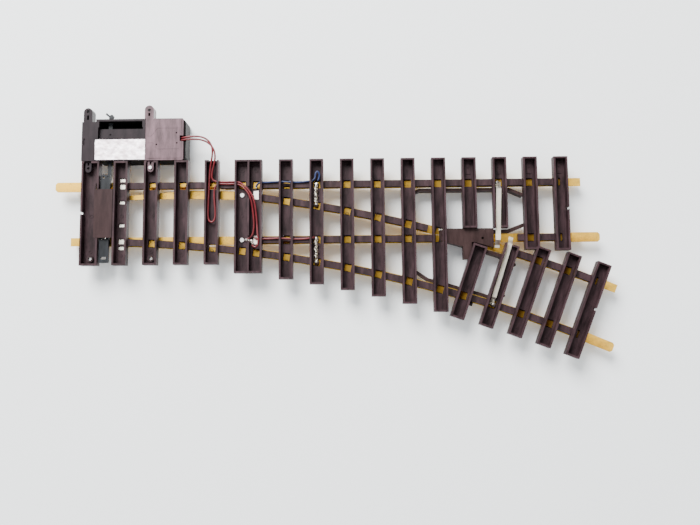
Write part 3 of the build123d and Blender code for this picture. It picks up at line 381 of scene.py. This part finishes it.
# Each drop's x, y, z and radius.
STRIP_END = radians(17.975)
SOLDER_SPOTS = [(LINK_X, -24.0, 6.2, 2.0), (LINK_X, -6.2, 6.2, 2.0), (LINK_X, 23.6, 6.2, 2.0),
                (LINK_X, 43.5, 6.2, 2.0), (367.95, -23.6, 6.2, 2.0),
                (NEAR_RADIUS * sin(STRIP_END), BRANCH_CENTRE_Y - NEAR_RADIUS * cos(STRIP_END), 6.2, 2.0),
                (151.9, 24.1, 6.0, 1.5), (153.9, 24.6, 5.0, 1.7), (156.2, 24.9, 5.4, 1.6),
                (157.4, 27.6, 4.9, 1.2), (159.3, 21.4, 5.6, 1.2), (160.4, -21.4, 5.7, 1.1),
                (157.0, -14.4, 5.6, 1.3)]
drops = bmesh.new()
for x, y, z, radius in SOLDER_SPOTS:
    made = bmesh.ops.create_icosphere(drops, subdivisions=4, radius=1.0)["verts"]
    for vert in made:
        lump = 1 + 0.22 * noise.noise(vert.co * 1.7 + Vector((x, y, 0.0)))
        spread = 1 + 0.25 * max(vert.co.z, 0.0)
        vert.co = Vector((x + radius * lump * spread * vert.co.x, y + radius * lump * spread * vert.co.y,
                          z + 1.75 * lump * vert.co.z)) * MM
piece_from("solder_drops", drops, solder_metal, "solder", "solder_joints")


# ---- Rail chairs ------------------------------------------------------------------------------------

FIRST_SLEEPER = 18.0
EARLY_PITCH = 26.1
HEEL_HALVES = (148.0, 160.0)
AFTER_HEEL = 186.1
LATE_PITCH = 26.15
BLADES_END = 150
GUARD_ENDS = (288, 391)
FROG_ENDS = (317, 390)
CURVED_RAIL_END = 345
CHAIR_ROOM = 13.5
FAN_FIRST = 16.75
FAN_STEP = 1.225
# Half a chair: the rail foot's half width, then the clip's and the spikes' own places.
FOOT_HALF = 2.9 * MM
CLIP_LENGTH = 2.6 * MM
CLIP_REACH = 1.7 * MM
CLIP_OUT = 3.6 * MM
SPIKE_ALONG = 1.35 * MM
SPIKE_OUT = 5.2 * MM
DECK_Z = 8.0 * MM


def curve_spot(radius, x):
    """Y of a curved rail at X, and its direction there."""
    return BRANCH_CENTRE_Y - sqrt(radius**2 - x**2), asin(x / radius)


def chair_spots():
    """(x, y, turn) in mm of every half chair. Its own +Y points away from the rail."""
    spots = []

    def both(x, y, turn, sides):
        spots.extend((x, y, turn + (0.0 if side > 0 else pi)) for side in sides)

    early = [FIRST_SLEEPER + EARLY_PITCH * i for i in range(5)]
    late = [AFTER_HEEL + LATE_PITCH * i for i in range(10)]
    for x in [*early, *HEEL_HALVES, *late]:
        past_guard = x > GUARD_ENDS[0]
        guarded = x < BLADES_END or GUARD_ENDS[0] < x < GUARD_ENDS[1]
        both(x, -RAIL_Y, 0.0, (-1,) if guarded else (-1, 1))
        if x < CURVED_RAIL_END:
            y, turn = curve_spot(NEAR_RADIUS, x)
            both(x, y, turn, (1,) if x < BLADES_END or past_guard else (-1, 1))
        if BLADES_END < x < FROG_ENDS[0]:
            y, turn = curve_spot(FAR_RADIUS, x)
            roomy = RAIL_Y - y > CHAIR_ROOM
            both(x, y, turn, (-1, 1) if roomy else (-1,))
            both(x, RAIL_Y, 0.0, (-1, 1) if roomy else (1,))
        if x > FROG_ENDS[1]:
            both(x, RAIL_Y, 0.0, (-1, 1))
    for i in range(5):
        turn = radians(FAN_FIRST + FAN_STEP * i)
        for radius, sides in ((NEAR_RADIUS, (1,) if i < 2 else (-1, 1)),
                              (FAR_RADIUS, (-1, 1) if i > 1 else ())):
            both(radius * sin(turn), BRANCH_CENTRE_Y - radius * cos(turn), turn, sides)
    return spots


def chair_tree(material):
    """Half a rail chair on every point: a base plate, a clip over the rail foot and a spike head."""
    tree = bpy.data.node_groups.new("rail_chairs", "GeometryNodeTree")
    face = tree.interface
    face.new_socket("Geometry", in_out="INPUT", socket_type="NodeSocketGeometry")
    face.new_socket("Geometry", in_out="OUTPUT", socket_type="NodeSocketGeometry")
    for name in ("Plate length", "Plate reach", "Plate height", "Clip height", "Spike head"):
        face.new_socket(name, in_out="INPUT", socket_type="NodeSocketFloat")
    given = add(tree, "NodeGroupInput").outputs
    plate_size = add(tree, "ShaderNodeCombineXYZ", {0: given["Plate length"], 1: given["Plate reach"],
                                                    2: given["Plate height"]})
    plate = add(tree, "GeometryNodeMeshCube", {"Size": plate_size.outputs[0]})
    half = add(tree, "ShaderNodeMath", {0: given["Plate reach"], 1: 0.5}, operation="MULTIPLY")
    out = add(tree, "ShaderNodeMath", {0: half.outputs[0], 1: FOOT_HALF}, operation="ADD")
    rise = add(tree, "ShaderNodeMath", {0: given["Plate height"], 1: 0.5}, operation="MULTIPLY")
    plate_place = add(tree, "ShaderNodeCombineXYZ", {1: out.outputs[0], 2: rise.outputs[0]})
    plate_set = add(tree, "GeometryNodeTransform",
                    {"Geometry": plate.outputs[0], "Translation": plate_place.outputs[0]})
    clip_size = add(tree, "ShaderNodeCombineXYZ", {0: CLIP_LENGTH, 1: CLIP_REACH, 2: given["Clip height"]})
    clip = add(tree, "GeometryNodeMeshCube", {"Size": clip_size.outputs[0]})
    clip_rise = add(tree, "ShaderNodeMath", {0: given["Clip height"], 1: 0.5}, operation="MULTIPLY")
    clip_place = add(tree, "ShaderNodeCombineXYZ", {1: CLIP_OUT, 2: clip_rise.outputs[0]})
    clip_set = add(tree, "GeometryNodeTransform",
                   {"Geometry": clip.outputs[0], "Translation": clip_place.outputs[0]})
    heads = []
    for side in (-1, 1):
        head = add(tree, "GeometryNodeMeshIcoSphere", {"Radius": given["Spike head"], "Subdivisions": 2})
        head_place = add(tree, "ShaderNodeCombineXYZ",
                         {0: side * SPIKE_ALONG, 1: SPIKE_OUT, 2: given["Plate height"]})
        heads.append(add(tree, "GeometryNodeTransform",
                         {"Geometry": head.outputs[0], "Translation": head_place.outputs[0],
                          "Scale": (1.0, 1.0, 0.7)}))
    whole = add(tree, "GeometryNodeJoinGeometry")
    for part in (plate_set, clip_set, *heads):
        tree.links.new(part.outputs[0], whole.inputs[0])
    turn = add(tree, "GeometryNodeInputNamedAttribute", {"Name": "turn"}, data_type="FLOAT")
    angles = add(tree, "ShaderNodeCombineXYZ", {2: turn.outputs["Attribute"]})
    turned = add(tree, "FunctionNodeEulerToRotation", {0: angles.outputs[0]})
    placed = add(tree, "GeometryNodeInstanceOnPoints",
                 {"Points": given["Geometry"], "Instance": whole.outputs[0], "Rotation": turned.outputs[0]})
    real = add(tree, "GeometryNodeRealizeInstances", {"Geometry": placed.outputs[0]})
    finish = add(tree, "GeometryNodeSetMaterial", {"Geometry": real.outputs[0], "Material": material})
    add(tree, "NodeGroupOutput", {0: finish.outputs[0]})
    return tree


spots = chair_spots()
seeds = bpy.data.meshes.new("chair_spots")
seeds.from_pydata([(x * MM, y * MM, DECK_Z) for x, y, _ in spots], [], [])
turns = seeds.attributes.new("turn", "FLOAT", "POINT")
turns.data.foreach_set("value", [turn for _, _, turn in spots])
maker = new_object("chair_maker", seeds)
chairs_on = maker.modifiers.new("chairs", "NODES")
chairs_on.node_group = chair_tree(sleeper_plastic)
CHAIR_SIZES = {"Plate length": 5.4, "Plate reach": 3.6, "Plate height": 0.7, "Clip height": 1.9,
               "Spike head": 0.75}
for item in chairs_on.node_group.interface.items_tree:
    if item.in_out == "INPUT" and item.name in CHAIR_SIZES:
        chairs_on[item.identifier] = CHAIR_SIZES[item.name] * MM
bpy.context.view_layer.update()
evaluated = maker.evaluated_get(bpy.context.evaluated_depsgraph_get())
chair_mesh = bpy.data.meshes.new_from_object(evaluated)
bpy.data.objects.remove(maker)
chair_mesh.name = "rail_chairs"
chairs = new_object("rail_chairs", chair_mesh)
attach(chairs, "track_bed")


# ---- Lights and floor -------------------------------------------------------------------------------

def pale_board(name, z, turn, colour):
    """A plain board that shows from its front only, so each serves the views on its own side. The
    other board and the model take no shade or bounced light from it."""
    material, tree = new_material(name)
    back = add(tree, "ShaderNodeNewGeometry").outputs["Backfacing"]
    matt = add(tree, "ShaderNodeBsdfDiffuse", {"Color": linear(colour)})
    clear = add(tree, "ShaderNodeBsdfTransparent")
    shown = add(tree, "ShaderNodeMixShader", {0: back, 1: matt.outputs[0], 2: clear.outputs[0]})
    add(tree, "ShaderNodeOutputMaterial", {"Surface": shown.outputs[0]})
    mesh = bpy.data.meshes.new(name)
    corners = [(-4.0, -4.0), (4.0, -4.0), (4.0, 4.0), (-4.0, 4.0)][::turn]
    mesh.from_pydata([(0.2 + x, y, z) for x, y in corners], [], [(0, 1, 2, 3)])
    mesh.materials.append(material)
    board = new_object(name, mesh)
    board.visible_shadow = False
    board.visible_diffuse = False


pale_board("floor", -0.0002, 1, "#f8fafa")
pale_board("table", 0.0196, -1, "#f7f9f9")


def softbox(name, spot, target, size, power):
    data = bpy.data.lights.new(name, "AREA")
    data.shape = "DISK"
    data.size = size
    data.energy = power
    lamp = bpy.data.objects.new(name, data)
    bpy.context.scene.collection.objects.link(lamp)
    lamp.location = spot
    lamp.rotation_euler = (Vector(target) - Vector(spot)).to_track_quat("-Z", "Y").to_euler()


softbox("light_under", (-0.5, -1.4, -1.5), (0.2, 0.0, 0.0), 1.4, 140.0)
softbox("light_over", (0.7, -0.9, 1.5), (0.2, 0.0, 0.0), 1.2, 40.0)
world = bpy.data.worlds.new("soft_room")
bpy.context.scene.world = world
world.use_nodes = True
sky = world.node_tree.nodes["Background"]
sky.inputs["Color"].default_value = linear("#f1f5f8")
sky.inputs["Strength"].default_value = 1.35
